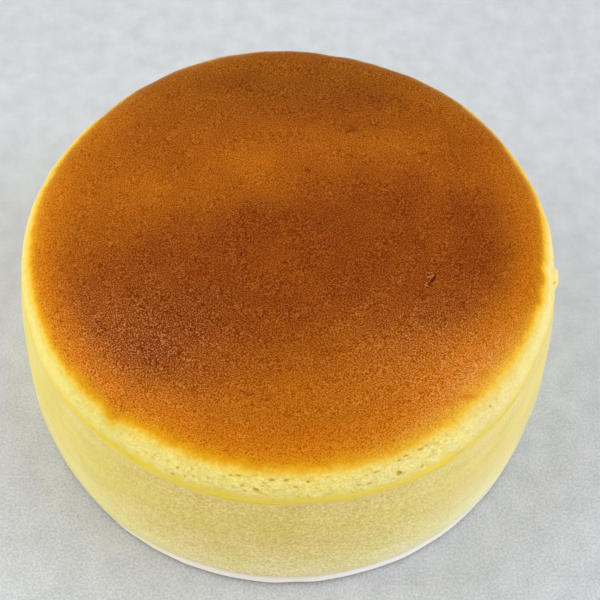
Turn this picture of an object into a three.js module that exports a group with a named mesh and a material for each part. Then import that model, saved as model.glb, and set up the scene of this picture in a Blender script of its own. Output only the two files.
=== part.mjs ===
// A round, uncut souffle cheesecake of the 18 cm size, with the band of greased baking paper
// that it was baked in still wrapped round its side.
//
// Millimetres, +Z up. The origin is the middle of the underside, on the surface that the cake
// stands on. -Y is the front.

import * as THREE from 'three';

// ---- driving dimensions ---------------------------------------------------------------------

// the side, measured on the outer face of the paper
const BELLY_DIAMETER = 179;      // widest, a little above the foot: the soft cake sags
const BELLY_HEIGHT = 14;         // height of that widest ring
const BAND_HEIGHT = 55;          // height of the paper band
const BAND_TOP_DIAMETER = 171.4; // the cake draws in towards its top edge
const FOOT_DIAMETER = 176.4;     // the paper's lower edge, tucked in under the belly
const OVALNESS = 0.004;          // share by which it is deeper, front to back, than it is wide

// the paper
const PAPER_THICKNESS = 0.4;
const PAPER_GAP = 0.3;           // between the paper and the cake

// the cake above the paper
const SHOULDER_BULGE = 0.5;      // how far the bare crumb swells over the paper's edge
const SHOULDER_START = 3;        // height above the paper where the shoulder begins to turn in
const SHOULDER_DEPTH = 9.6;      // width of the rounded shoulder, seen from above
const SHOULDER_RISE = 8.4;       // height of the rounded shoulder
const CROWN_RISE = 4;            // how far the middle stands above the shoulder

// the foot: the bottom corner is round, so the paper stands clear of it
const FOOT_RADIUS = 6.5;

// a scrap of crumb that tore up from the shoulder on the right
const TEAR = { angle: -6, height: 60, proud: 1.7, halfWidth: 5, halfHeight: 3.5 };

// fineness
const SEGMENTS = 96;
const FOOT_STEPS = 4;
const WALL_STEPS = 8;
const SHOULDER_STEPS = 7;
const CROWN_STEPS = 4;

// ---- worked out from them -------------------------------------------------------------------

const bellyRadius = BELLY_DIAMETER / 2;
const bandTopRadius = BAND_TOP_DIAMETER / 2;
const footRadius = FOOT_DIAMETER / 2;
const skinInset = PAPER_THICKNESS + PAPER_GAP;
const shoulderRadius = bandTopRadius - skinInset + SHOULDER_BULGE;
const crownRadius = shoulderRadius - SHOULDER_DEPTH;
const shoulderBase = BAND_HEIGHT + SHOULDER_START;

// Radius of the paper's outer face at a height: one parabola from the belly up to the top edge
// and a steeper one down to the foot.
function sideRadius(z) {
  const above = z > BELLY_HEIGHT;
  const endRadius = above ? bandTopRadius : footRadius;
  const span = above ? BAND_HEIGHT - BELLY_HEIGHT : BELLY_HEIGHT;
  return bellyRadius - (bellyRadius - endRadius) * ((z - BELLY_HEIGHT) / span) ** 2;
}

// Height of the domed top at a radius, before the shoulder turns it down.
function crownHeight(radius) {
  return shoulderBase + SHOULDER_RISE + CROWN_RISE * (1 - (radius / shoulderRadius) ** 2);
}

// ---- profiles, as points of radius and height ------------------------------------------------

// The wall from one height to another, at a distance inside the paper's outer face.
function wallPoints(low, high, inset) {
  const points = [];
  for (let step = 0; step <= WALL_STEPS; step++) {
    const z = low + (high - low) * step / WALL_STEPS;
    points.push(new THREE.Vector2(sideRadius(z) - inset, z));
  }
  return points;
}

// The round bottom corner, from the flat underside up to the wall.
function footPoints() {
  const centreRadius = sideRadius(FOOT_RADIUS) - skinInset - FOOT_RADIUS;
  const points = [];
  for (let step = 0; step < FOOT_STEPS; step++) {
    const turn = step / FOOT_STEPS * Math.PI / 2;
    points.push(new THREE.Vector2(
      centreRadius + FOOT_RADIUS * Math.sin(turn),
      FOOT_RADIUS * (1 - Math.cos(turn)),
    ));
  }
  return points;
}

// The shoulder, a quarter of an ellipse that leans on the crown's slope.
function shoulderPoints() {
  const points = [];
  for (let step = 0; step <= SHOULDER_STEPS; step++) {
    const turn = step / SHOULDER_STEPS * Math.PI / 2;
    const radius = crownRadius + SHOULDER_DEPTH * Math.cos(turn);
    const turnedDown = SHOULDER_RISE * (1 - Math.sin(turn));
    points.push(new THREE.Vector2(radius, crownHeight(radius) - turnedDown));
  }
  return points;
}

// The domed top, from the shoulder in to the middle.
function crownPoints() {
  const points = [];
  for (let step = 1; step <= CROWN_STEPS; step++) {
    const radius = crownRadius * (1 - step / CROWN_STEPS);
    points.push(new THREE.Vector2(radius, crownHeight(radius)));
  }
  return points;
}

function cakeProfile() {
  return [
    new THREE.Vector2(0, 0),
    ...footPoints(),
    ...wallPoints(FOOT_RADIUS, BAND_HEIGHT, skinInset),
    ...shoulderPoints(),
    ...crownPoints(),
  ];
}

function paperProfile() {
  const outer = wallPoints(0, BAND_HEIGHT, 0);
  const inner = wallPoints(0, BAND_HEIGHT, PAPER_THICKNESS).reverse();
  return [...outer, ...inner, outer[0].clone()];
}

// ---- shaping ----------------------------------------------------------------------------------

// Turns a profile round the upright axis. A lathe turns about +Y, so it is stood up on +Z.
function turned(profile) {
  const geometry = new THREE.LatheGeometry(profile, SEGMENTS);
  geometry.rotateX(Math.PI / 2);
  return geometry;
}

// Moves every vertex by a function of its place.
function reshape(geometry, move) {
  const places = geometry.attributes.position;
  const place = new THREE.Vector3();
  for (let index = 0; index < places.count; index++) {
    place.fromBufferAttribute(places, index);
    move(place);
    places.setXYZ(index, place.x, place.y, place.z);
  }
  geometry.computeVertexNormals();
  return geometry;
}

// The cake and its paper are slightly oval together.
function makeOval(place) {
  place.x *= 1 - OVALNESS;
  place.y *= 1 + OVALNESS;
}

// Pushes the shoulder outwards where the crumb is torn up.
function raiseTear(place) {
  const radius = Math.hypot(place.x, place.y);
  if (radius < crownRadius || place.z < BAND_HEIGHT) {
    return;
  }
  const angle = THREE.MathUtils.degToRad(TEAR.angle);
  const along = (Math.atan2(place.y, place.x) - angle) * radius / TEAR.halfWidth;
  const up = (place.z - TEAR.height) / TEAR.halfHeight;
  const push = TEAR.proud * Math.exp(-(along ** 2) - up ** 2);
  place.x += push * place.x / radius;
  place.y += push * place.y / radius;
}

// ---- the two pieces ---------------------------------------------------------------------------

function piece(name, geometry, color, roughness) {
  const material = new THREE.MeshStandardMaterial({ color, roughness, metalness: 0 });
  const mesh = new THREE.Mesh(geometry, material);
  mesh.name = name;
  return mesh;
}

function makeCake() {
  const geometry = reshape(turned(cakeProfile()), (place) => {
    raiseTear(place);
    makeOval(place);
  });
  return piece('cake', geometry, 0xb8651a, 0.75);
}

function makePaperBand() {
  const geometry = reshape(turned(paperProfile()), makeOval);
  return piece('paper_band', geometry, 0xe2d79b, 0.45);
}

const cheesecake = new THREE.Group();
cheesecake.name = 'jiggly_cheesecake';
cheesecake.add(makeCake(), makePaperBand());

export default cheesecake;
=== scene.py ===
"""A whole souffle cheesecake: browned on top, pale crumb at the shoulder, and still in the band of
greased baking paper that it was baked in."""

import math
import random

import bmesh
import bpy
from mathutils import Matrix, Vector, noise


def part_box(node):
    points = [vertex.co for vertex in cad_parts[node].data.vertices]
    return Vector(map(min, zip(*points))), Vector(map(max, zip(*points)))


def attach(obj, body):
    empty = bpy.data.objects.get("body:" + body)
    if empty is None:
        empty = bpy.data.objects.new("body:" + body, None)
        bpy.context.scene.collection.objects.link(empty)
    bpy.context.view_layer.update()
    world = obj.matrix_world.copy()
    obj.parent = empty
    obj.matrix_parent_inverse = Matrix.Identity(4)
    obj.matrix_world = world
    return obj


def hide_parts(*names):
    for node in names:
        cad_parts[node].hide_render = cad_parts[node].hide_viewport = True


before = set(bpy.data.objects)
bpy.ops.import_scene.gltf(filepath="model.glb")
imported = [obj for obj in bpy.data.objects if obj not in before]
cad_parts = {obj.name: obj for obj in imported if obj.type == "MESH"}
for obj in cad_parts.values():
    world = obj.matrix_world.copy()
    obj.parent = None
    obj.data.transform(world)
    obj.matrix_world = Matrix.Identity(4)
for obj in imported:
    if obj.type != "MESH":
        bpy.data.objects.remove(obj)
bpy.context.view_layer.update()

MM = 0.001

# ---- sizes, in metres; the overall ones come from the frame -------------------------------------

_, cake_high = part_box("cake")
_, band_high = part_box("paper_band")

BAND_HEIGHT = band_high.z
BELLY_RADIUS = (band_high.x + band_high.y) / 2
OVALNESS = (band_high.y - band_high.x) / (band_high.y + band_high.x)
BELLY_HEIGHT = 14 * MM
BAND_TOP_RADIUS = 85.7 * MM
BAND_FOOT_RADIUS = 88.2 * MM

PAPER_THICKNESS = 0.15 * MM
SKIN_INSET = 0.28 * MM
SHOULDER_RADIUS = BAND_TOP_RADIUS - 0.25 * MM
SHOULDER_START = 1.5 * MM
PAPER_TOP_BULGE = 0.24 * MM
SHOULDER_DEPTH = 9.6 * MM
SHOULDER_RISE = 9.9 * MM
CROWN_RISE = cake_high.z - BAND_HEIGHT - SHOULDER_START - SHOULDER_RISE
CROWN_RADIUS = SHOULDER_RADIUS - SHOULDER_DEPTH
FOOT_ROUND = 8 * MM
PAPER_PLAY = 0.01 * MM

# distances along the skin from the middle of the top
CRUST_EDGE = 81.4 * MM
SKIN_EDGE = 90.2 * MM


def side_radius(height):
    """Radius of the paper's outer face at a height."""
    above = height > BELLY_HEIGHT
    end_radius = BAND_TOP_RADIUS if above else BAND_FOOT_RADIUS
    span = BAND_HEIGHT - BELLY_HEIGHT if above else BELLY_HEIGHT
    return BELLY_RADIUS - (BELLY_RADIUS - end_radius) * ((height - BELLY_HEIGHT) / span) ** 2


def cake_radius(height):
    """Radius of the cake behind the paper, down to where its round foot meets the floor."""
    below = max(0.0, FOOT_ROUND - height)
    rounded_off = FOOT_ROUND - math.sqrt(FOOT_ROUND ** 2 - below ** 2)
    return side_radius(max(height, FOOT_ROUND)) - SKIN_INSET - rounded_off


def crown_height(radius):
    """Height of the domed top at a radius, before the shoulder turns it down."""
    share = radius / SHOULDER_RADIUS
    return BAND_HEIGHT + SHOULDER_START + SHOULDER_RISE + CROWN_RISE * (1 - share ** 2)


def smooth_step(value, low, high):
    """0 below low, 1 above high and an even rise between them."""
    share = min(1.0, max(0.0, (value - low) / (high - low)))
    return share * share * (3 - 2 * share)


def bump_at(distance):
    """A soft bump: 1 at distance 0, next to nothing past 2."""
    return math.exp(-distance * distance)


# ---- camera and light ---------------------------------------------------------------------------

CAMERA_BACK = 225.5 * MM
CAMERA_HEIGHT = 371.4 * MM
CAMERA_TURN = 1.037
CAMERA_PITCH = 56.518
CAMERA_ROLL = 2.336
CAMERA_LENS = 72
CAMERA_FRAME = 36


def set_up_camera():
    data = bpy.data.cameras.new("camera")
    data.lens = CAMERA_LENS
    data.sensor_width = CAMERA_FRAME
    camera = bpy.data.objects.new("camera", data)
    camera.matrix_world = (
        Matrix.Translation((0, -CAMERA_BACK, CAMERA_HEIGHT))
        @ Matrix.Rotation(math.radians(-CAMERA_TURN), 4, "Z")
        @ Matrix.Rotation(math.radians(90 - CAMERA_PITCH), 4, "X")
        @ Matrix.Rotation(math.radians(CAMERA_ROLL), 4, "Z")
    )
    bpy.context.scene.collection.objects.link(camera)
    bpy.context.scene.camera = camera


ROOM_STRENGTH = 0.03
ROOM_COLOUR = (1, 1, 1, 1)
WARM = (0.985, 0.98, 0.94)
COOL = (0.96, 0.975, 1.05)
CLEAR = (1, 1, 1.06)
FRONT = (0.98, 0.94, 0.92)
COOL_FRONT = (0.97, 0.94, 0.97)

# Softboxes that face the cake: (name, place in metres, side in metres, watts, colour).
SOFTBOXES = [
    ("left_light", (-1.1, 0.1, 0.45), 0.7, 3.5, WARM),
    ("right_light", (1.1, 0.1, 0.45), 0.7, 3.3, COOL),
    ("left_back_light", (-0.8, 0.8, 0.5), 0.7, 3.6, WARM),
    ("left_front_light", (-0.9, -0.7, 0.25), 0.7, 5.4, FRONT),
    ("right_front_light", (0.9, -0.7, 0.25), 0.7, 5.4, COOL_FRONT),
    ("left_high_light", (-0.8, 0, 1.0), 0.8, 4.9, WARM),
    ("right_high_light", (0.8, 0, 1.0), 0.8, 6.4, COOL),
    ("back_high_light", (0, 0.7, 1.1), 0.8, 3.6, CLEAR),
    ("front_high_light", (0, -0.7, 1.1), 0.8, 1.5, CLEAR),
]


def add_softbox(name, place, side, watts, colour):
    data = bpy.data.lights.new(name, "AREA")
    data.size = side
    data.energy = watts
    data.color = colour
    lamp = bpy.data.objects.new(name, data)
    lamp.location = place
    lamp.rotation_euler = (-Vector(place)).to_track_quat("-Z", "Y").to_euler()
    bpy.context.scene.collection.objects.link(lamp)


def set_up_light():
    world = bpy.data.worlds.new("room")
    world.use_nodes = True
    background = world.node_tree.nodes["Background"]
    background.inputs["Color"].default_value = ROOM_COLOUR
    background.inputs["Strength"].default_value = ROOM_STRENGTH
    bpy.context.scene.world = world
    bpy.context.scene.view_settings.view_transform = "Standard"
    for softbox in SOFTBOXES:
        add_softbox(*softbox)


# ---- material helpers ---------------------------------------------------------------------------


def shade(red, green, blue):
    """A display colour, 0 to 255, as the linear colour that a socket takes."""
    def linear(level):
        share = level / 255
        return share / 12.92 if share <= 0.04045 else ((share + 0.055) / 1.055) ** 2.4

    return (linear(red), linear(green), linear(blue), 1)


class Finish:
    """A material in the making. Most calls add a node and return its result; x, y and z are
    where a point is."""

    def __init__(self, name):
        self.material = bpy.data.materials.new(name)
        self.material.use_nodes = True
        self.nodes = self.material.node_tree.nodes
        self.links = self.material.node_tree.links
        self.shader = self.nodes["Principled BSDF"]
        self.place = self.nodes.new("ShaderNodeTexCoord").outputs["Object"]
        split = self.nodes.new("ShaderNodeSeparateXYZ")
        self.links.new(self.place, split.inputs["Vector"])
        self.x, self.y, self.z = split.outputs

    def feed(self, socket, value):
        if isinstance(value, bpy.types.NodeSocket):
            self.links.new(value, socket)
        else:
            socket.default_value = value

    def surface(self, **sockets):
        """Sets or joins the shader's own sockets, named with _ for a space."""
        for name, value in sockets.items():
            self.feed(self.shader.inputs[name.replace("_", " ")], value)

    def attribute(self, name):
        node = self.nodes.new("ShaderNodeAttribute")
        node.attribute_name = name
        return node.outputs["Fac"]

    def stretched(self, scale):
        """The place with its axes scaled: blobs are longer along an axis with a small scale."""
        node = self.nodes.new("ShaderNodeMapping")
        self.links.new(self.place, node.inputs["Vector"])
        node.inputs["Scale"].default_value = scale
        return node.outputs["Vector"]

    def grain(self, size, detail=2.0, roughness=0.5, vector=None):
        """Cloudy noise whose blobs are about size across; 0 to 1, mostly near 0.5."""
        node = self.nodes.new("ShaderNodeTexNoise")
        self.links.new(vector or self.place, node.inputs["Vector"])
        node.inputs["Scale"].default_value = 1 / size
        node.inputs["Detail"].default_value = detail
        node.inputs["Roughness"].default_value = roughness
        return node.outputs["Fac"]

    def waver(self, size, detail=2.0, roughness=0.5, vector=None):
        """The same noise about 0."""
        return self.minus(self.grain(size, detail, roughness, vector), 0.5)

    def cells(self, size):
        """Distance to the nearest of scattered points about size apart, in sizes."""
        node = self.nodes.new("ShaderNodeTexVoronoi")
        self.links.new(self.place, node.inputs["Vector"])
        node.inputs["Scale"].default_value = 1 / size
        return node.outputs["Distance"]

    def reckon(self, operation, first, second=0.0, clamp=False):
        node = self.nodes.new("ShaderNodeMath")
        node.operation = operation
        node.use_clamp = clamp
        self.feed(node.inputs[0], first)
        self.feed(node.inputs[1], second)
        return node.outputs[0]

    def plus(self, first, second, clamp=False):
        return self.reckon("ADD", first, second, clamp)

    def minus(self, first, second):
        return self.reckon("SUBTRACT", first, second)

    def times(self, first, *others):
        for other in others:
            first = self.reckon("MULTIPLY", first, other)
        return first

    def larger(self, first, second):
        return self.reckon("MAXIMUM", first, second)

    def remap(self, value, low, high, new_low=0.0, new_high=1.0, kind="SMOOTHSTEP"):
        """A soft change from new_low, where the value is low, to new_high, where it is high."""
        node = self.nodes.new("ShaderNodeMapRange")
        node.interpolation_type = kind
        self.feed(node.inputs["Value"], value)
        node.inputs["From Min"].default_value = low
        node.inputs["From Max"].default_value = high
        node.inputs["To Min"].default_value = new_low
        node.inputs["To Max"].default_value = new_high
        return node.outputs["Result"]

    def slope(self, value, low, high, new_low=0.0, new_high=1.0):
        """The same as a straight change."""
        return self.remap(value, low, high, new_low, new_high, kind="LINEAR")

    def mix(self, share, first, second, kind="MIX"):
        node = self.nodes.new("ShaderNodeMix")
        node.data_type = "RGBA"
        node.blend_type = kind
        self.feed(node.inputs["Factor"], share)
        self.feed(node.inputs[6], first)
        self.feed(node.inputs[7], second)
        return node.outputs[2]

    def tint(self, share, colour, by):
        """A colour multiplied by another, as far as the share says."""
        return self.mix(share, colour, by, "MULTIPLY")

    def ramp(self, value, low, high, stops):
        """Colours along a distance from low to high: stops are (where in mm, colour)."""
        node = self.nodes.new("ShaderNodeValToRGB")
        self.feed(node.inputs["Fac"], self.slope(value, low, high))
        elements = node.color_ramp.elements
        while len(elements) > 1:
            elements.remove(elements[-1])
        for index, (where, colour) in enumerate(stops):
            share = (where * MM - low) / (high - low)
            element = elements[0] if index == 0 else elements.new(share)
            element.position = share
            element.color = colour
        return node.outputs["Color"]

    def bump(self, height, depth, under=None):
        """Relief of a height 0 to 1 whose full step is depth."""
        node = self.nodes.new("ShaderNodeBump")
        node.inputs["Distance"].default_value = depth
        self.feed(node.inputs["Height"], height)
        if under is not None:
            self.links.new(under, node.inputs["Normal"])
        return node.outputs["Normal"]


# ---- the floor's finish -------------------------------------------------------------------------


def floor_finish():
    """Pale and faintly speckled, most towards the front."""
    finish = Finish("pale_table")
    clouds = finish.slope(finish.grain(9 * MM, 3, 0.6), 0.3, 0.7, -0.25, 0.25)
    speckle = finish.slope(finish.grain(0.8 * MM, 1, 0.6), 0.3, 0.7, -1, 1)
    strength = finish.remap(finish.y, -60 * MM, 60 * MM, 0.5, 0.08)
    both = finish.plus(clouds, finish.times(speckle, strength))
    both = finish.plus(finish.times(both, 0.5), 0.5, clamp=True)
    finish.surface(
        Base_Color=finish.mix(both, shade(173, 177, 180), shade(225, 228, 231)),
        Roughness=0.7,
        Specular_IOR_Level=0.1,
    )
    return finish.material


# ---- the sponge's finish ------------------------------------------------------------------------

# The crust's colours towards its edge: (mm past the edge, colour); minus is on the crust.
CRUST_FROM = -22 * MM
CRUST_TO = 5 * MM
CRUST_SHADES = [
    (-22, shade(178, 95, 0)),
    (-15, shade(188, 103, 0)),
    (-8, shade(198, 111, 0)),
    (-5, shade(206, 124, 0)),
    (-3, shade(214, 142, 2)),
    (-1.5, shade(225, 161, 18)),
    (-0.3, shade(234, 184, 50)),
    (0.8, shade(242, 209, 88)),
    (3, shade(250, 231, 128)),
    (5, shade(252, 234, 136)),
]


class Sponge(Finish):
    """Golden brown crust that fades through orange into pale crumb, and the smooth yellow skin
    below it. past_crust and past_crumb are distances down the skin, past their edges."""

    def __init__(self):
        super().__init__("baked_sponge")
        self.toast = self.attribute("toast")
        self.broken = self.attribute("broken")
        # painted sheen: paler, brighter specks on the crust at the front left and front right
        self.painted_sheen_mark = self.attribute("painted_sheen")
        self.hollow_shade = self.attribute("hollow_shade")
        self.past_crumb = self.attribute("past_crumb")
        self.right_front = self.times(
            self.remap(self.x, 5 * MM, 30 * MM), self.remap(self.y, -15 * MM, -40 * MM)
        )
        self.past_crust = self.past_frayed_edge()
        self.crumb_only = self.remap(self.past_crust, -0.5 * MM, 2 * MM)
        self.open_crumb = self.times(
            self.crumb_only, self.broken, self.remap(self.past_crumb, 0.8 * MM, -0.8 * MM)
        )
        self.fine_grain = self.grain(0.42 * MM, 0)
        self.lumps = self.grain(1.2 * MM, 3, 0.65, self.stretched((1, 1, 1.6)))
        self.crumbs = self.grain(0.6 * MM, 2, 0.6, self.stretched((1, 1, 1.4)))
        self.cracks = self.fine_cracks()

    def past_frayed_edge(self):
        """The distance past the crust's edge, frayed finely and broadly; least broadly at the
        right front."""
        fray = self.times(self.waver(1.1 * MM, 3, 0.6), 2.4 * MM)
        broad = self.remap(self.right_front, 0, 1, 3.6 * MM, 1.6 * MM)
        drift = self.times(self.waver(4.5 * MM, 3, 0.6), broad)
        return self.plus(self.plus(self.attribute("past_crust"), fray), drift)

    def fine_cracks(self):
        """Fine level cracks that come and go in the open crumb."""
        torn = self.waver(2.6 * MM, 1, 0.5, self.stretched((1, 1, 2.8)))
        crack = self.remap(self.reckon("ABSOLUTE", torn), 0.032, 0.006)
        return self.times(crack, self.remap(self.grain(4 * MM, 1), 0.5, 0.62), self.open_crumb)

    def crust(self):
        """Brown in the middle, through gold to the crumb's cream, and darker at the back."""
        browned = self.plus(self.toast, self.times(self.waver(5 * MM, 3, 0.6), 0.4))
        middle = self.mix(self.slope(browned, 0, 1), shade(131, 55, 0), shade(179, 97, 0))
        rim = self.ramp(self.past_crust, CRUST_FROM, CRUST_TO, CRUST_SHADES)
        pale = self.remap(self.past_crust, CRUST_FROM, -7 * MM)
        pale = self.times(pale, self.attribute("pale_rim"))
        pale = self.larger(pale, self.remap(self.past_crust, -5 * MM, -0.5 * MM))
        baked = self.mix(pale, middle, rim)
        # darker and greyer on the crust towards the back
        greyer_to_back = self.times(
            self.remap(self.y, 30 * MM, 72 * MM), self.remap(self.past_crust, 3 * MM, -2 * MM)
        )
        return self.tint(greyer_to_back, baked, (0.78, 0.85, 1, 1))

    def specks_and_pores(self, baked):
        """Fine light specks between dark red pores; at the right front out to the edge."""
        at_edge = self.times(self.right_front, self.remap(self.past_crust, 0.8 * MM, -1.8 * MM))
        speckled = self.larger(self.remap(self.past_crust, 1 * MM, -4 * MM), at_edge)
        at_edge = self.times(at_edge, 0.6)
        specks = self.times(self.slope(self.fine_grain, 0.48, 0.8), speckled)
        pitted = self.larger(self.remap(self.past_crust, 0, -5.5 * MM), at_edge)
        pores = self.times(self.slope(self.fine_grain, 0.5, 0.2), pitted)
        # painted sheen: brighter, paler specks and slightly deeper pores where it lies
        painted_sheen = self.times(self.painted_sheen_mark, self.remap(self.past_crust, -0.5 * MM, -4 * MM))
        bright = self.remap(self.toast, 0, 1.2, 0.19, 0.26)
        bright = self.plus(bright, self.times(painted_sheen, 0.23), clamp=True)
        speck_shade = self.mix(painted_sheen, (1.0, 0.44, 0.08, 1), (1.0, 0.46, 0.18, 1))
        paler = self.times(at_edge, self.remap(self.past_crust, -7 * MM, -2 * MM))
        speck_shade = self.mix(paler, speck_shade, (1.0, 0.66, 0.34, 1))
        baked = self.mix(self.times(specks, bright), baked, speck_shade)
        deep = self.plus(self.times(painted_sheen, 0.08), 0.8, clamp=True)
        return self.tint(self.times(pores, deep), baked, (0.42, 0.26, 0.1, 1))

    def dots_and_smears(self, baked):
        """Coarser dark dots, and at the right front a pale haze of painted sheen and moist orange
        smears.
        """
        dots = self.remap(self.cells(4.4 * MM), 0.11, 0.07)
        dots = self.times(dots, self.remap(self.past_crust, -5 * MM, -9 * MM), 0.8)
        baked = self.tint(dots, baked, (0.62, 0.36, 0.2, 1))
        # painted sheen: a pale haze on the crust near its edge at the right front
        sheen_haze = self.times(
            self.right_front,
            self.remap(self.past_crust, -9 * MM, -4 * MM),
            self.painted_sheen_mark,
            self.remap(self.past_crust, 1 * MM, -1.5 * MM),
            0.1,
        )
        baked = self.mix(sheen_haze, baked, shade(236, 158, 100))
        return self.mix(self.times(self.attribute("smear"), 0.7), baked, shade(208, 114, 0))

    def torn_crumb(self, baked):
        """Painted highlight on the crumb's raised lumps and painted shade, deep yellow, in the low
        places between them; creamier on the right.
        """
        # painted highlight and painted shade follow the same lumps that the relief raises
        lit_tops = self.times(self.slope(self.lumps, 0.5, 0.68), self.open_crumb, 0.45)
        baked = self.mix(lit_tops, baked, shade(255, 250, 194))
        shaded_recesses = self.times(self.slope(self.lumps, 0.5, 0.3), self.open_crumb, 0.55)
        baked = self.mix(shaded_recesses, baked, shade(240, 214, 88))
        speckle = self.slope(self.crumbs, 0.3, 0.7)
        speckle = self.mix(speckle, (0.91, 0.88, 0.8, 1), (1.06, 1.09, 1.18, 1))
        baked = self.tint(self.open_crumb, baked, speckle)
        creamy = self.times(self.open_crumb, self.remap(self.x, 5 * MM, 35 * MM))
        return self.tint(creamy, baked, (0.985, 1.0, 1.15, 1))

    def smooth_skin(self, baked):
        """Yellow skin above the paper, paler and mottled away from the front, and a duller crumb
            where it isn't torn, mostly at the sides: partly its own tone, partly painted shade."""
        rightward = self.remap(self.x, -45 * MM, 45 * MM)
        skin_shade = self.mix(rightward, shade(250, 218, 63), shade(251, 225, 91))
        mottle = self.slope(self.grain(2.4 * MM, 3, 0.6), 0.3, 0.7)
        pale_skin = self.mix(mottle, shade(244, 225, 104), shade(252, 237, 136))
        skin_shade = self.mix(self.remap(self.y, -70 * MM, -35 * MM), skin_shade, pale_skin)
        tucked_in = self.remap(self.z, BAND_HEIGHT + 2.2 * MM, BAND_HEIGHT + 0.9 * MM)
        skin_shade = self.mix(tucked_in, skin_shade, shade(247, 218, 82))
        baked = self.mix(self.remap(self.past_crumb, -2.4 * MM, 1.6 * MM), baked, skin_shade)
        # painted shade on the untorn crumb at the sides, deepest at the far left
        duller = self.mix(rightward, (0.89, 0.91, 0.93, 1), (0.9, 0.89, 1.08, 1))
        duller = self.mix(self.remap(self.x, -68 * MM, -88 * MM), duller, (0.86, 0.82, 0.8, 1))
        whole = self.times(self.remap(self.broken, 0.9, 0.5), self.crumb_only)
        return self.tint(whole, baked, duller)

    def hollows(self, baked):
        """Painted shade in the pits and cracks, over their own deeper colour: deep yellow in the
        crumb, dark red in the crust.
        """
        in_crumb = self.times(self.crumb_only, 0.88, self.hollow_shade)
        baked = self.mix(in_crumb, baked, shade(211, 174, 9))
        # painted shade in the fine level cracks of the crumb
        baked = self.mix(self.times(self.cracks, 0.6), baked, shade(206, 166, 34))
        in_crust = self.times(self.hollow_shade, self.remap(self.past_crust, -1 * MM, -4 * MM))
        return self.tint(in_crust, baked, (0.4, 0.1, 0.02, 1))

    def relief(self):
        """Fine grain everywhere, and crumbs, lumps and cracks, mostly in the open crumb."""
        fine = self.bump(self.fine_grain, 0.08 * MM)
        fine = self.bump(self.times(self.crumbs, self.open_crumb), 0.12 * MM, fine)
        lumpy = self.times(self.lumps, self.plus(self.open_crumb, 0.15))
        lumpy = self.minus(lumpy, self.times(self.cracks, 0.06))
        return self.bump(lumpy, 0.4 * MM, fine)


def sponge_finish():
    sponge = Sponge()
    baked = sponge.crust()
    baked = sponge.specks_and_pores(baked)
    baked = sponge.dots_and_smears(baked)
    baked = sponge.torn_crumb(baked)
    baked = sponge.smooth_skin(baked)
    baked = sponge.hollows(baked)
    sponge.surface(
        Base_Color=baked,
        Roughness=0.6,
        Specular_IOR_Level=0.03,
        Sheen_Weight=0.15,
        Sheen_Roughness=0.35,
        Normal=sponge.relief(),
        Subsurface_Weight=0.2,
        Subsurface_Radius=(3.0, 1.6, 0.6),
        Subsurface_Scale=MM,
    )
    return sponge.material


# ---- the paper's finish -------------------------------------------------------------------------

# The paper's colours up the side: (mm above its own floor line, colour).
PAPER_FROM = 0
PAPER_TO = 55 * MM
PAPER_SHADES = [
    (2.0, shade(255, 250, 238)),
    (3.2, shade(252, 242, 216)),
    (5.6, shade(246, 231, 180)),
    (8, shade(246, 231, 163)),
    (12, shade(247, 232, 165)),
    (16, shade(245, 229, 157)),
    (20, shade(241, 223, 146)),
    (26, shade(238, 216, 134)),
    (32, shade(235, 212, 125)),
    (40, shade(234, 210, 113)),
    (51, shade(233, 208, 119)),
    (55, shade(228, 204, 124)),
]


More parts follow.
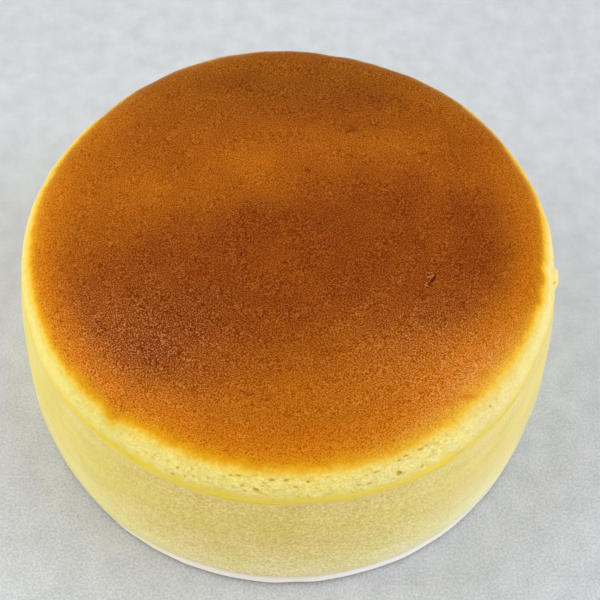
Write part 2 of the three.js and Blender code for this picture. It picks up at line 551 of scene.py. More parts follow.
class GreasedPaper(Finish):
    """Paper that takes the cake's yellow where it clings, and is white where it stands clear of
    the round bottom corner. height is counted from a line that wavers about the floor."""

    def __init__(self):
        super().__init__("greased_paper")
        self.height = self.wavering_height()
        fibres = self.grain(0.85 * MM, 1, 0.6, self.stretched((1, 1, 0.95)))
        self.fibres = self.slope(fibres, 0.3, 0.7)
        clear_of_cake = self.remap(self.height, 6.5 * MM, 4 * MM)
        front = self.remap(self.y, -62 * MM, -88 * MM, 0.25, 1)
        self.speckled = self.times(front, self.minus(1, clear_of_cake))

    def wavering_height(self):
        """Height above a wavering line, which is higher at the front, where the lip is."""
        height = self.plus(self.z, self.times(self.waver(16 * MM, 2), 1.0 * MM))
        to_right = self.reckon("MINIMUM", self.times(self.x, -0.38), 0.0)
        frontward = self.plus(self.y, to_right)
        front_lip = self.remap(frontward, -78 * MM, -87 * MM, 1.0 * MM, -0.8 * MM)
        return self.plus(height, front_lip)

    def clinging(self):
        """Yellow up the side, and white low down at the front only."""
        cling = self.ramp(self.height, PAPER_FROM, PAPER_TO, PAPER_SHADES)
        whitened = self.plus(self.y, self.times(self.x, -0.14))
        whitened = self.remap(whitened, -35 * MM, -88 * MM)
        low_down = self.remap(self.height, 8 * MM, 5 * MM)
        yellowed = self.times(low_down, self.minus(1, whitened))
        return self.mix(yellowed, cling, shade(242, 229, 158))

    def grained(self, cling):
        """Fine fibres, broad blotches of grease and level streaks."""
        fibres = self.mix(self.fibres, (0.84, 0.79, 0.52, 1), (1.13, 1.18, 1.46, 1))
        cling = self.tint(self.speckled, cling, fibres)
        above_lip = self.remap(self.height, 5 * MM, 9 * MM)
        grease = self.slope(self.grain(13 * MM, 2), 0.35, 0.65)
        grease = self.mix(grease, (0.97, 0.985, 0.88, 1), (1.02, 1.01, 1.1, 1))
        cling = self.tint(above_lip, cling, grease)
        streaks = self.grain(5 * MM, 3, 0.6, self.stretched((0.3, 0.3, 1.6)))
        streaks = self.slope(streaks, 0.3, 0.7)
        streaks = self.mix(streaks, (0.955, 0.945, 0.89, 1), (1.035, 1.045, 1.09, 1))
        return self.tint(above_lip, cling, streaks)

    def stained(self, cling):
        """Small brown stains and bare spots among the fibres."""
        patch = self.grain(1.1 * MM, 2, 0.6, self.stretched((0.55, 0.55, 1)))
        stain = self.times(self.remap(patch, 0.6, 0.74), self.speckled, 0.5)
        cling = self.mix(stain, cling, shade(202, 166, 60))
        bare = self.times(self.remap(patch, 0.4, 0.26), self.speckled, 0.5)
        return self.mix(bare, cling, shade(246, 236, 176))

    def sides(self, cling):
        """Light and shade painted by side: paler to the right and greener to the left, a pale
            painted haze low at the right front, and painted shade low down at both sides."""
        # painted light: paler on the right
        cling = self.tint(self.remap(self.x, -10 * MM, 60 * MM), cling, (1.02, 1.09, 1.22, 1))
        # painted light: a pale haze low at the right front
        painted_haze = self.times(
            self.remap(self.x, 20 * MM, 52 * MM),
            self.remap(self.y, -15 * MM, -45 * MM),
            self.remap(self.height, 15 * MM, 4 * MM),
            0.6,
        )
        cling = self.mix(painted_haze, cling, shade(243, 236, 204))
        # painted light: a little lighter and greener on the left
        cling = self.tint(self.remap(self.x, -28 * MM, -62 * MM), cling, (1.0, 1.06, 0.99, 1))
        # painted shade low down on the left
        shade_low_left = self.minus(self.times(self.x, -0.8), self.height)
        shade_low_left = self.remap(shade_low_left, 35 * MM, 46 * MM)
        cling = self.tint(shade_low_left, cling, (0.84, 0.81, 0.93, 1))
        # painted shade low down on the right
        shade_low_right = self.times(
            self.remap(self.x, 72 * MM, 80 * MM), self.remap(self.height, 38 * MM, 22 * MM)
        )
        return self.tint(shade_low_right, cling, (0.9, 0.9, 0.93, 1))

    def soaked(self, cling):
        """Yellower along the top edge."""
        return self.mix(self.remap(self.attribute("rise"), 0.968, 1), cling, shade(238, 214, 98))


def paper_finish():
    paper = GreasedPaper()
    cling = paper.clinging()
    cling = paper.grained(cling)
    cling = paper.stained(cling)
    cling = paper.sides(cling)
    cling = paper.soaked(cling)
    paper.surface(
        Base_Color=cling,
        Roughness=0.5,
        Specular_IOR_Level=0.3,
        Normal=paper.bump(paper.fibres, 0.012 * MM),
    )
    return paper.material


# ---- the cake's skin: an outline turned a full circle -------------------------------------------

# steps round the cake
INNER_STEPS = 270
MIDDLE_STEPS = 540
SHOULDER_STEPS = 900
WALL_STEPS = 180

# steps down the outline
CROWN_SPACING = 0.2 * MM
SHOULDER_TURNS = 60
BULGE_STEPS = 10
WALL_RINGS = 12
FOOT_RINGS = 8

# The outline's last rings: above the paper's edge and tucked in behind it. The wall behind the
# paper begins further down.
ABOVE_PAPER = 0.25 * MM
TUCKED_IN = 0.21 * MM
BEHIND_PAPER = 1.5 * MM

# Points closer than this are one.
TOUCHING = 1e-6


def skin_outline():
    """Points (radius, height) down the skin, from the middle of the top to just behind the
    paper's edge."""
    points = []
    for step in range(round(CROWN_RADIUS / CROWN_SPACING)):
        radius = step * CROWN_SPACING
        points.append((radius, crown_height(radius)))
    for step in range(SHOULDER_TURNS + 1):
        turn = math.pi / 2 * step / SHOULDER_TURNS
        radius = CROWN_RADIUS + SHOULDER_DEPTH * math.sin(turn)
        points.append((radius, crown_height(radius) - SHOULDER_RISE * (1 - math.cos(turn))))
    for step in range(1, BULGE_STEPS + 1):
        share = step / BULGE_STEPS
        radius = SHOULDER_RADIUS + PAPER_TOP_BULGE * smooth_step(share, 0, 1)
        height = BAND_HEIGHT + ABOVE_PAPER + (SHOULDER_START - ABOVE_PAPER) * (1 - share)
        points.append((radius, height))
    points.append((cake_radius(BAND_HEIGHT), BAND_HEIGHT - TUCKED_IN))
    return points


class Skin:
    """The outline measured by distance along it, the reach."""

    def __init__(self):
        self.points = skin_outline()
        self.reaches = [0.0]
        for (r0, z0), (r1, z1) in zip(self.points, self.points[1:]):
            self.reaches.append(self.reaches[-1] + math.hypot(r1 - r0, z1 - z0))
        self.length = self.reaches[-1]

    def at(self, reach):
        """(radius, height) at a reach."""
        for index in range(1, len(self.reaches)):
            if reach <= self.reaches[index]:
                break
        before, after = self.reaches[index - 1], self.reaches[index]
        share = (reach - before) / (after - before)
        (r0, z0), (r1, z1) = self.points[index - 1], self.points[index]
        return r0 + (r1 - r0) * share, z0 + (z1 - z0) * share


skin = Skin()


def wrap_outline(bm, outline, steps, reach_layer):
    """A grid bent a full circle, its rows at the outline's (reach, radius, height) points."""
    rows = len(outline) - 1
    grid = bmesh.ops.create_grid(bm, x_segments=steps, y_segments=rows, size=0.5)
    for vert in grid["verts"]:
        turn = 2 * math.pi * (vert.co.x + 0.5)
        reach, radius, height = outline[round((vert.co.y + 0.5) * rows)]
        vert.co = (radius * math.cos(turn), radius * math.sin(turn), height)
        vert[reach_layer] = reach


def rim_edges(bm, radius, height):
    """The open edges of a ring at a radius and height."""
    def on_rim(vert):
        off = abs(math.hypot(vert.co.x, vert.co.y) - radius)
        return off < TOUCHING and abs(vert.co.z - height) < TOUCHING

    return [e for e in bm.edges if e.is_boundary and on_rim(e.verts[0]) and on_rim(e.verts[1])]


def skin_stretch(low, high, spacing):
    """(reach, radius, height) points from one reach to another."""
    count = round((high - low) / spacing)
    reaches = [low + (high - low) * step / count for step in range(count + 1)]
    return [(reach, *skin.at(reach)) for reach in reaches]


def under_paper_outline():
    """The wall and the round foot behind the paper, down to the flat underside."""
    top = BAND_HEIGHT - BEHIND_PAPER
    heights = [top + (FOOT_ROUND - top) * step / WALL_RINGS for step in range(WALL_RINGS + 1)]
    turns = [math.pi / 2 * step / FOOT_RINGS for step in range(1, FOOT_RINGS + 1)]
    heights += [FOOT_ROUND * (1 - math.sin(turn)) for turn in turns]
    outline = [(cake_radius(height), height) for height in heights]
    outline.append((outline[-1][0] / 2, 0))
    outline.append((0, 0))
    return [(skin.length + BEHIND_PAPER + BAND_HEIGHT - z, r, z) for r, z in outline]


def cake_rings(bm, reach_layer):
    """Rings of skin with fewer steps towards the middle, bridged to each other."""
    stretches = [
        (skin_stretch(0, 39 * MM, 1.0 * MM), INNER_STEPS),
        (skin_stretch(40 * MM, 75 * MM, 1.0 * MM), MIDDLE_STEPS),
        (skin_stretch(75.6 * MM, skin.length, 0.46 * MM), SHOULDER_STEPS),
        (under_paper_outline(), WALL_STEPS),
    ]
    for outline, steps in stretches:
        wrap_outline(bm, outline, steps, reach_layer)
    bmesh.ops.remove_doubles(bm, verts=bm.verts, dist=TOUCHING)
    for (upper, _), (lower, _) in zip(stretches, stretches[1:]):
        edges = rim_edges(bm, *upper[-1][1:]) + rim_edges(bm, *lower[0][1:])
        bmesh.ops.bridge_loops(bm, edges=edges)


# ---- details of the skin ------------------------------------------------------------------------

# Where the crust's edge runs out or in, as (bearing, half width, shift): degrees, degrees, mm.
CRUST_SHIFTS = [
    (168, 18, 1.3),
    (192, 13, 1.2),
    (214, 20, 1.2),
    (232.6, 2.0, 1.7),
    (243, 7, -1.1),
    (318, 20, -1.4),
    (341, 12, 0.6),
    (352, 8, 0.35),
    (353.4, 1.3, -1.3),
    (9, 9, 0.9),
    (20, 12, 1.5),
    (52, 27, 2.3),
    (92, 26, 1.9),
    (129, 16, 3.1),
]

# Where the whole cake swells out or draws in: (bearing, half width, push), degrees and mm.
SWELLS = [
    (40, 34, 1.15),
    (103, 18, 1.0),
    (137, 6, -0.35),
    (176, 14, 0.75),
    (200, 10, -0.3),
    (334, 12, -0.5),
    (350, 6, 0.4),
    (9, 6, 0.4),
]

# The deeply browned middle, as flat-topped ovals: (x, y, half width, half depth), mm.
DARK_OVALS = [
    (-22, -22, 42, 28),
    (28, -3, 47, 28),
]

# Where the rest browned more or less: (x, y, half width, half depth, lift), mm; minus is darker.
BROWN_PATCHES = [
    (-58, 20, 18, 16, 0.25),
    (-45, 14, 8, 7, 0.25),
    (-15, 28, 11, 6, 0.32),
    (30, 38, 16, 5, 0.23),
    (5, 24, 4, 6, -0.12),
    (20, 44, 5, 3, -0.25),
    (62, 12, 12, 14, -0.12),
    (18, 54, 26, 8, -0.32),
    (-22, 64, 26, 7, -0.26),
    (30, 66, 20, 8, -0.20),
    (0, -66, 60, 14, 0.50),
    (40, -50, 24, 12, 0.40),
    (-15, -44, 9, 6, 0.15),
    (-43, -50, 20, 13, -0.24),
    (-59, -46, 10, 12, -0.25),
    (44, -38, 18, 11, -0.22),
    (61, -36, 14, 15, -0.36),
    (-66, 29, 9, 7, -0.1),
    (-69, 2, 7, 12, 0.1),
    (-8, 73, 12, 5, -0.16),
    (-16, 4, 9, 6, -0.2),
    (-8, 18, 8, 5, 0.2),
    (-46, 34, 12, 10, -0.18),
    (0, 48, 14, 4, -0.15),
    (52, -24, 14, 10, -0.06),
    (57, 38, 8, 8, -0.3),
    (-8, 14, 16, 6, 0.12),
    (42, -6, 8, 14, 0.14),
    (52, -58, 16, 10, 0.17),
]

# Where the crust stays brown up to its edge: (bearing, half width, share), degrees.
DARK_RIMS = [
    (5, 30, 0.35),
    (32, 14, 0.4),
    (60, 30, 0.55),
    (95, 30, 0.75),
    (131, 18, 0.45),
    (158, 14, 0.4),
]

# Pits and slits in the shoulder: (bearing, reach, length, height, depth), degrees and mm.
SHOULDER_PITS = [
    (248.9, 86.1, 1.1, 0.8, 0.6),
    (248.2, 89.2, 1.2, 1.0, 0.4),
    (250.7, 88.1, 0.7, 0.9, 0.5),
    (252.5, 87.0, 0.7, 0.8, 0.4),
    (259.6, 83.7, 1.1, 0.8, 0.5),
    (261.2, 83.3, 1.9, 0.6, 0.7),
    (262.1, 86.3, 1.2, 0.6, 0.5),
    (260.3, 86.9, 1.0, 0.5, 0.5),
    (262.7, 87.9, 1.4, 0.7, 0.7),
    (264.8, 87.1, 1.9, 1.3, 1.1),
    (264.6, 82.5, 2.2, 0.4, 0.4),
    (267.7, 83.7, 2.1, 0.8, 0.9),
    (270.6, 83.5, 1.6, 0.9, 0.9),
    (272.5, 85.5, 1.5, 0.6, 0.5),
    (274.8, 84.1, 1.3, 0.7, 0.9),
    (276.4, 86.4, 1.2, 0.4, 0.5),
    (284.6, 87.2, 1.4, 0.5, 0.6),
    (286.6, 87.8, 2.0, 0.9, 0.8),
    (288.6, 84.5, 3.0, 0.4, 0.6),
    (287.2, 83.0, 1.3, 0.4, 0.4),
    (293.0, 87.8, 2.1, 2.0, 1.3),
    (293.5, 83.4, 1.4, 0.6, 0.7),
    (294.9, 82.8, 1.7, 0.6, 0.8),
    (296.7, 82.2, 0.9, 0.6, 0.6),
    (298.4, 82.8, 2.0, 0.9, 0.9),
    (299.9, 82.5, 1.2, 0.5, 0.6),
    (302.0, 83.2, 1.6, 0.4, 0.5),
    (304.0, 84.4, 1.5, 0.5, 0.4),
    (297.9, 88.5, 1.4, 0.9, 0.5),
    (316.4, 84.0, 1.1, 0.9, 0.4),
    (318.5, 83.8, 0.9, 0.7, 0.2),
]

# Hairline cracks and nicks in the crust: (x, y, length, width, bearing, depth), mm and degrees.
CRUST_CRACKS = [
    (44.6, -16.6, 3.4, 0.9, 55, 0.7),
    (43.4, -18.4, 1.6, 0.7, 100, 0.45),
    (-50.5, 31.2, 4.0, 0.9, 35, 0.25),
    (-42.5, 56.9, 3.5, 0.9, 100, 0.25),
    (19.6, 42.6, 5.0, 1.2, 28, 0.38),
    (26.6, 45.4, 6.5, 0.8, 14, 0.22),
    (5.4, 24.4, 2.2, 1.6, 140, 0.34),
    (42.4, 33.4, 5.0, 0.9, 10, 0.22),
    (64.8, 18.7, 3.5, 0.9, 120, 0.25),
    (-11.0, -57.6, 5.0, 1.1, 165, 0.26),
    (-6.0, -59.4, 5.0, 1.0, 8, 0.24),
    (-57.9, -14.6, 1.4, 1.0, 60, 0.3),
    (-14.9, -10.0, 1.6, 1.0, 80, 0.35),
    (-1.2, -12.5, 1.4, 0.9, 90, 0.35),
]

# Where the paper's top edge rides up or down: (bearing, half width, shift), degrees and mm.
EDGE_SHIFTS = [
    (264, 7, -0.7),
    (275, 4, 0.9),
    (300, 8, -0.6),
    (228, 8, 0.7),
    (322, 6, -0.6),
]

# Moist orange smears in the crust, without grain: (x, y, length, width, bearing), mm and degrees.
SMEARS = [
    (52.3, -56.1, 7.5, 1.5, 12),
    (57.8, -48.5, 3.0, 1.6, 70),
    (47.2, -48.9, 3.0, 1.4, 60),
    (46.0, -58.6, 4.0, 1.2, 170),
]

# Painted highlights on the flake edges beside the largest crack: (x, y, size), mm.
FLAKE_HIGHLIGHTS = [
    (43.6, -15.4, 1.0),
    (42.2, -18.8, 0.7),
]

# The crumb torn up on the right: its middle (degrees, mm of reach), half width in degrees, half
# height in mm, and how far it stands out.
SCRAP_BEARING = 353.9
SCRAP_REACH = 87.6
SCRAP_HALF_WIDTH = 2.5
SCRAP_HALF_HEIGHT = 2.6
SCRAP_PROUD = 1.3 * MM

# Small pits scattered by chance, and how much of any pit's depth is cut.
SMALL_PITS = 130
PIT_CUT = 0.45

# Between these bearings the larger pits get a finer mesh.
PITS_FROM = 246
PITS_TO = 320


def swing(bearing, middle):
    """Degrees from middle to bearing, -180 to 180."""
    return (bearing - middle + 180) % 360 - 180


def bearing_of(place):
    """Degrees from +X towards +Y, 0 to 360."""
    return math.degrees(math.atan2(place.y, place.x)) % 360


def along_and_across(x, y, bearing):
    """An offset as its part along a bearing and its part to the left of it."""
    turn = math.radians(bearing)
    return x * math.cos(turn) + y * math.sin(turn), y * math.cos(turn) - x * math.sin(turn)


def swell_at(bearing, height):
    """How far the cake swells out at a bearing; nothing near the floor."""
    swell = sum(push * bump_at(swing(bearing, middle) / width) for middle, width, push in SWELLS)
    return swell * MM * smooth_step(height, 10 * MM, 40 * MM)


def crust_edge_at(bearing):
    """Reach of the crust's edge at a bearing."""
    turn = math.radians(bearing)
    waver = noise.noise((7 * math.cos(turn), 7 * math.sin(turn), 3.3))
    edge = CRUST_EDGE + 0.45 * MM * waver
    for middle, half_width, shift in CRUST_SHIFTS:
        edge += shift * MM * bump_at(swing(bearing, middle) / half_width)
    return edge


def skin_edge_at(bearing, place):
    """Reach at which the crumb gives way to the smooth skin: higher towards the sides."""
    sides = smooth_step(abs(swing(bearing, 272)), 25, 60)
    edge = SKIN_EDGE - 1.4 * MM * sides + 0.35 * MM * bump_at(swing(bearing, 312) / 20)
    edge += 1.1 * MM * noise.noise(place / (2.4 * MM))
    return edge + 0.8 * MM * noise.noise(place / (7 * MM))


def fade_at(bearing):
    """How quickly the crust's colour fades at its edge: slowest at the front right."""
    slow = 0.35 * bump_at(swing(bearing, 318) / 24)
    quick = 0.3 * bump_at(swing(bearing, 354) / 14) + 0.3 * bump_at(swing(bearing, 195) / 24)
    return 1.05 - slow + quick


def painted_sheen_at(place):
    """How pale the specks of the crust are, as painted sheen: palest at the front left and front
    right, and a painted highlight beside the largest crack.
    """
    left = bump_at(math.hypot(place.x / MM + 48, (place.y / MM + 44) * 1.3) / 30)
    right = bump_at(math.hypot(place.x / MM - 50, (place.y / MM + 46) * 1.25) / 28)
    flake_highlights = 0.0
    # painted highlights on the flake edges
    for x, y, size in FLAKE_HIGHLIGHTS:
        flake_highlights += 2 * bump_at(math.hypot(place.x / MM - x, place.y / MM - y) / size)
    return left + right + flake_highlights


def smear_at(place):
    """1 in the moist smears of the crust, 0 elsewhere."""
    share = 0.0
    for x, y, length, width, bearing in SMEARS:
        along, across = along_and_across(place.x / MM - x, place.y / MM - y, bearing)
        across = across / (width / 2) + 0.5 * noise.noise(place / (1.6 * MM))
        share = max(share, bump_at(math.hypot(along / (length / 2), across)))
    return share


def pale_rim_at(bearing):
    """1 where the crust pales towards its edge, 0 where it stays brown up to it."""
    pale = 1.0
    for middle, half_width, share in DARK_RIMS:
        pale -= share * bump_at(swing(bearing, middle) / half_width)
    return max(0.0, pale)


def paper_top_at(bearing):
    """Height of the paper's top edge, which wavers round the cake."""
    turn = math.radians(bearing)
    top = BAND_HEIGHT + 0.35 * MM * noise.noise((6 * math.cos(turn), 6 * math.sin(turn), 0))
    for middle, half_width, shift in EDGE_SHIFTS:
        top += shift * MM * bump_at(swing(bearing, middle) / half_width)
    return top


def broken_at(bearing, place):
    """How far the crumb at the shoulder is torn open: most at the front."""
    front = bump_at(swing(bearing, 273) / 41)
    back = 0.7 * bump_at(swing(bearing, 75) / 40)
    return min(1.0, 0.25 + front + back + 0.25 * noise.noise(place / (8 * MM)))


def toast_at(place):
    """How lightly the top browned: 0 is the deepest brown, 1 the lightest."""
    x, y = place.x / MM, place.y / MM
    light = 1.0
    for middle_x, middle_y, half_width, half_depth in DARK_OVALS:
        off = math.hypot((x - middle_x) / half_width, (y - middle_y) / half_depth)
        light *= 1 - bump_at(off * off)
    lift = 0.03 + 0.52 * light
    for middle_x, middle_y, half_width, half_depth, change in BROWN_PATCHES:
        off = math.hypot((x - middle_x) / half_width, (y - middle_y) / half_depth)
        lift += change * bump_at(off)
    return lift + 0.16 * noise.noise(place / (11 * MM))


def ragged(place, size):
    """Small steady offsets that make an outline ragged."""
    return Vector(
        (
            noise.noise(place / size),
            noise.noise(place / size + Vector((7.1, 0, 0))),
            noise.noise(place / size + Vector((0, 5.3, 0))),
        )
    )


def pit_hollow(place, bearing, reach, pits):
    """How deep pits go here, and how dark their painted shade is: (depth in metres, 0 to 1)."""
    depth = 0.0
    dark = 0.0
    for middle, pit_reach, length, height, pit_depth in pits:
        along = math.radians(swing(bearing, middle)) * SHOULDER_RADIUS / MM
        if abs(along) > length * 1.5:
            continue
        down = reach / MM - pit_reach
        if abs(down) > height * 2 + 0.5:
            continue
        wander = ragged(place, 0.9 * MM) * 0.22
        off = math.hypot((along + wander.x) / (length / 2), (down + wander.y) / (height / 2))
        share = 1 - smooth_step(off, 0.55, 1.25)
        depth = max(depth, share * pit_depth * MM)
        dark = max(dark, share * min(1.0, 0.35 + pit_depth / 0.8))
    return depth, dark


def crack_hollow(place):
    """The same for the cracks in the crust."""
    depth = 0.0
    dark = 0.0
    for x, y, length, width, bearing, crack_depth in CRUST_CRACKS:
        off = Vector((place.x / MM - x, place.y / MM - y))
        if off.length > length:
            continue
        along, across = along_and_across(off.x, off.y, bearing)
        across += 0.5 * noise.noise(place / (1.6 * MM))
        tapered = max(0.0, 1 - (along / (length / 2)) ** 2)
        if tapered == 0:
            continue
        share = 1 - smooth_step(abs(across) / (width / 2 * math.sqrt(tapered)), 0.5, 1.6)
        depth = max(depth, share * crack_depth * MM)
        dark = max(dark, share * min(1.0, crack_depth / 0.8))
    return depth, dark


def scattered_pits():
    """More pits all round the shoulder, fewer where the skin held."""
    chance = random.Random(11)
    pits = []
    while len(pits) < SMALL_PITS:
        bearing = chance.uniform(0, 360)
        reach = chance.triangular(82.0, 89.3, 86.5)
        length = chance.uniform(0.5, 1.3)
        height = length * chance.uniform(0.35, 0.8)
        if (195 < bearing < 240 or 296 < bearing < 350) and chance.random() < 0.85:
            continue
        pits.append((bearing, reach, length, height, length * 0.25))
    return sorted(pits)


def torn_scrap(place, bearing, reach):
    """The crumb torn up from the shoulder on the right: how far it stands proud."""
    along = swing(bearing, SCRAP_BEARING) / SCRAP_HALF_WIDTH
    down = (reach / MM - SCRAP_REACH) / SCRAP_HALF_HEIGHT
    ragged_edge = 0.25 * noise.noise(place / (1.2 * MM))
    rough = 1 + 0.3 * noise.noise(place / (0.9 * MM))
    share = 1 - smooth_step(math.hypot(along, down) + ragged_edge, 0.55, 1.25)
    return SCRAP_PROUD * rough * share


def refine(bm, close_enough, cuts):
    """Cuts the edges that lie wholly where close_enough says into smaller ones."""
    edges = [e for e in bm.edges if close_enough(e.verts[0].co) and close_enough(e.verts[1].co)]
    bmesh.ops.subdivide_edges(bm, edges=edges, cuts=cuts, use_grid_fill=True)


def near_crack(place):
    """Whether a place is at a crack in the crust."""
    if place.z < BAND_HEIGHT + 8 * MM:
        return False
    for x, y, length, _, _, _ in CRUST_CRACKS:
        if math.hypot(place.x / MM - x, place.y / MM - y) < length / 2 + 1.2:
            return True
    return False


# The larger pits, with their radius and level.
BIG_PITS = [pit + skin.at(pit[1] * MM) for pit in SHOULDER_PITS if pit[2] * pit[3] > 0.6]


def near_pit(place):
    """Whether a place is at one of the larger pits."""
    if place.z <= BAND_HEIGHT + 2 * MM:
        return False
    bearing = bearing_of(place)
    if not PITS_FROM < bearing < PITS_TO:
        return False
    for middle, _, length, height, _, radius, level in BIG_PITS:
        along = math.radians(swing(bearing, middle)) * SHOULDER_RADIUS / MM
        down = math.hypot(math.hypot(place.x, place.y) - radius, place.z - level) / MM
        if abs(along) < length / 2 + 0.7 and down < height / 2 + 0.7:
            return True
    return False


def make_oval(vert):
    """Draws a point of the round cake or paper in at the sides and out at front and back."""
    vert.co.x *= 1 - OVALNESS
    vert.co.y *= 1 + OVALNESS


def pits_by_bearing(pits):
    """The pits that reach into each whole degree round the cake."""
    sectors = {}
    for pit in pits:
        for sector in range(int(pit[0]) - 3, int(pit[0]) + 4):
            sectors.setdefault(sector % 360, []).append(pit)
    return sectors


def unevenness(place, bearing, reach, crumb, torn):
    """How far the skin stands out, before any pit or crack goes in."""
    above_paper = 1 - smooth_step(reach, skin.length - 3 * MM, skin.length)
    heave = 0.5 * MM * noise.noise(place / (38 * MM)) * above_paper
    lumps = 0.35 * MM * noise.noise(place / (9 * MM)) * above_paper
    lumps *= smooth_step(reach, 60 * MM, 82 * MM)
    rough = 0.45 * MM * crumb * torn * noise.noise(place / (1.9 * MM))
    push = heave + lumps + rough + torn_scrap(place, bearing, reach) * above_paper
    return push + swell_at(bearing, place.z) * smooth_step(reach, 55 * MM, 80 * MM)


def hollow_at(place, bearing, reach, crumb, sectors):
    """How deep the pits of the crumb or the cracks of the crust go here, and how dark their
    painted shade is.
    """
    if crumb > 0:
        depth, dark = pit_hollow(place, bearing, reach, sectors.get(int(bearing), []))
        return PIT_CUT * depth, dark
    if reach < 80 * MM:
        return crack_hollow(place)
    return 0.0, 0.0


def sculpt_cake(bm, layers):
    """Moves every point of the skin to its uneven place and writes down what it is."""
    bm.normal_update()
    sectors = pits_by_bearing(scattered_pits() + SHOULDER_PITS)
    normals = {vert: vert.normal.copy() for vert in bm.verts}
    for vert in bm.verts:
        reach = vert[layers["reach"]]
        place = vert.co.copy()
        bearing = bearing_of(place)
        past_crust = (reach - crust_edge_at(bearing)) * fade_at(bearing)
        crumb = smooth_step(past_crust, 0, 2 * MM)
        crumb *= 1 - smooth_step(reach, SKIN_EDGE - 1 * MM, SKIN_EDGE)
        torn = broken_at(bearing, place)
        depth, dark = hollow_at(place, bearing, reach, crumb, sectors)
        vert[layers["past_crust"]] = past_crust
        vert[layers["past_crumb"]] = reach - skin_edge_at(bearing, place)
        vert[layers["toast"]] = toast_at(place) if reach < SKIN_EDGE else 0.5
        vert[layers["pale_rim"]] = pale_rim_at(bearing)
        vert[layers["broken"]] = torn
        # painted shade in pits and cracks, darker the deeper they go
        vert[layers["hollow_shade"]] = dark
        # painted sheen and painted highlight, for the crust's specks
        vert[layers["painted_sheen"]] = painted_sheen_at(place)
        vert[layers["smear"]] = smear_at(place)
        vert.co += normals[vert] * (unevenness(place, bearing, reach, crumb, torn) - depth)
        at_edge = smooth_step(reach, skin.length - 5 * MM, skin.length - 0.8 * MM)
        at_edge *= 1 - smooth_step(reach, skin.length + 2 * MM, skin.length + 12 * MM)
        vert.co.z += (paper_top_at(bearing) - BAND_HEIGHT) * at_edge
        make_oval(vert)


# Edges that turn more than this stay sharp, in degrees.
SHARP_ANGLE = 60

# What is written down at each point of the cake, for its finish.
CAKE_MARKS = [
    "reach",
    "past_crust",
    "past_crumb",
    "pale_rim",
    "broken",
    "toast",
    "hollow_shade",
    "painted_sheen",
    "smear",
]


def finish_piece(name, bm, material, node):
    """Turns a bmesh into a smooth piece that stands for a CAD node."""
    mesh = bpy.data.meshes.new(name)
    bm.to_mesh(mesh)
    bm.free()
    mesh.shade_smooth()
    mesh.set_sharp_from_angle(angle=math.radians(SHARP_ANGLE))
    mesh.materials.append(material)
    piece = bpy.data.objects.new(name, mesh)
    bpy.context.scene.collection.objects.link(piece)
    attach(piece, "root")
    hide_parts(node)


def make_cake():
    bm = bmesh.new()
    for mark in CAKE_MARKS:
        bm.verts.layers.float.new(mark)
    # read back only now, because each new layer moves the earlier ones
    layers = {mark: bm.verts.layers.float[mark] for mark in CAKE_MARKS}
    cake_rings(bm, layers["reach"])
    bmesh.ops.recalc_face_normals(bm, faces=bm.faces)
    refine(bm, near_crack, 2)
    refine(bm, near_pit, 1)
    sculpt_cake(bm, layers)
    finish_piece("cheesecake", bm, sponge_finish(), "cake")


# ---- the paper band -----------------------------------------------------------------------------

BAND_STEPS = 640
BAND_ROWS = 54
FOOT_LIFT = 1.2 * MM
LAP_LIFT = 0.25 * MM

# degrees round the cake
LIP_BEARING = 276
SEAM_BEARING = 112
LAP = 8
LAP_START = 3

# Soft upright creases: (bearing, half width, depth), degrees and mm.
CREASES = [
    (322, 3, 0.30),
    (333, 2.5, -0.25),
    (341, 2.5, 0.35),
    (350, 3, -0.20),
    (12, 4, 0.35),
    (36, 4, -0.30),
    (70, 5, 0.30),
    (150, 4, 0.30),
    (186, 5, -0.20),
    (204, 4, 0.20),
]


def foot_flare(bearing, height):
    """Below the round bottom corner of the cake, at the front, the paper's edge turns outwards
    in a lip."""
    at_front = 1 - smooth_step(abs(swing(bearing, LIP_BEARING)), 24, 54)
    pinch = -0.5 * MM * bump_at((height - 3.6 * MM) / (1.8 * MM))
    turned = max(0.0, min(1.0, (4.4 * MM - height) / (3.2 * MM)))
    return at_front * (pinch + 0.6 * MM * turned ** 3)


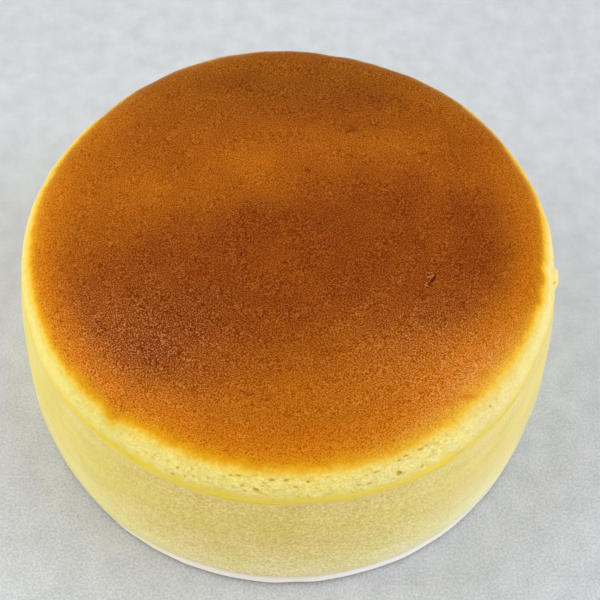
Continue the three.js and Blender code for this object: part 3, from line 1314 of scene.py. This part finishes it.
def paper_radius(on_side, bearing, rise, height):
    """Radius of the paper's outer face: creased, loose at the foot, and never inside the cake."""
    radius = side_radius(min(height, BAND_HEIGHT)) - 0.1 * MM + foot_flare(bearing, height)
    radius -= 0.12 * MM * smooth_step(rise, 0.96, 1)
    creased = math.sin(math.pi * min(1.0, 0.15 + 0.85 * rise))
    for middle, half_width, depth in CREASES:
        radius += depth * MM * creased * bump_at(swing(bearing, middle) / half_width)
    stiff = Vector((on_side.x * 8, on_side.y * 8, rise * 1.5))
    radius += 0.18 * MM * (1 - smooth_step(rise, 0.7, 0.95)) * noise.noise(stiff)
    free_foot = 1 - smooth_step(height, 2 * MM, 8 * MM)
    radius += 0.2 * MM * free_foot * noise.noise(on_side * 11)
    clear = cake_radius(min(height, BAND_HEIGHT)) + PAPER_THICKNESS + PAPER_PLAY
    return max(radius, clear) + swell_at(bearing, height)


def wrap_strip(bm, rise_layer):
    """Bends the flat strip round the cake, with its far end lapped over its near end."""
    for vert in bm.verts:
        rise = vert.co.y + 0.5
        wound = (vert.co.x + 0.5) * (360 + LAP)
        bearing = SEAM_BEARING + wound
        turn = math.radians(bearing)
        on_side = Vector((math.cos(turn), math.sin(turn), 0))
        top = paper_top_at(bearing)
        lift = FOOT_LIFT + 0.12 * MM * noise.noise(on_side * 9)
        height = lift + rise * (top - lift)
        radius = paper_radius(on_side, bearing, rise, height)
        radius += LAP_LIFT * smooth_step(wound, 360 - LAP_START, 360)
        vert[rise_layer] = rise
        vert.co = on_side * radius + Vector((0, 0, height))
        make_oval(vert)


def make_paper_band():
    bm = bmesh.new()
    rise_layer = bm.verts.layers.float.new("rise")
    bmesh.ops.create_grid(bm, x_segments=BAND_STEPS, y_segments=BAND_ROWS, size=0.5)
    wrap_strip(bm, rise_layer)
    bmesh.ops.recalc_face_normals(bm, faces=bm.faces)
    outward = sum(f.normal.dot(f.calc_center_median()) for f in bm.faces)
    if outward < 0:
        bmesh.ops.reverse_faces(bm, faces=bm.faces)
    bmesh.ops.solidify(bm, geom=bm.faces, thickness=PAPER_THICKNESS)
    finish_piece("baking_paper", bm, paper_finish(), "paper_band")


# ---- the floor ----------------------------------------------------------------------------------

FLOOR_REACH = 3


def make_floor():
    bm = bmesh.new()
    bmesh.ops.create_grid(bm, x_segments=1, y_segments=1, size=FLOOR_REACH)
    mesh = bpy.data.meshes.new("floor")
    bm.to_mesh(mesh)
    bm.free()
    mesh.materials.append(floor_finish())
    floor = bpy.data.objects.new("floor", mesh)
    bpy.context.scene.collection.objects.link(floor)


set_up_camera()
set_up_light()
make_floor()
make_cake()
make_paper_band()
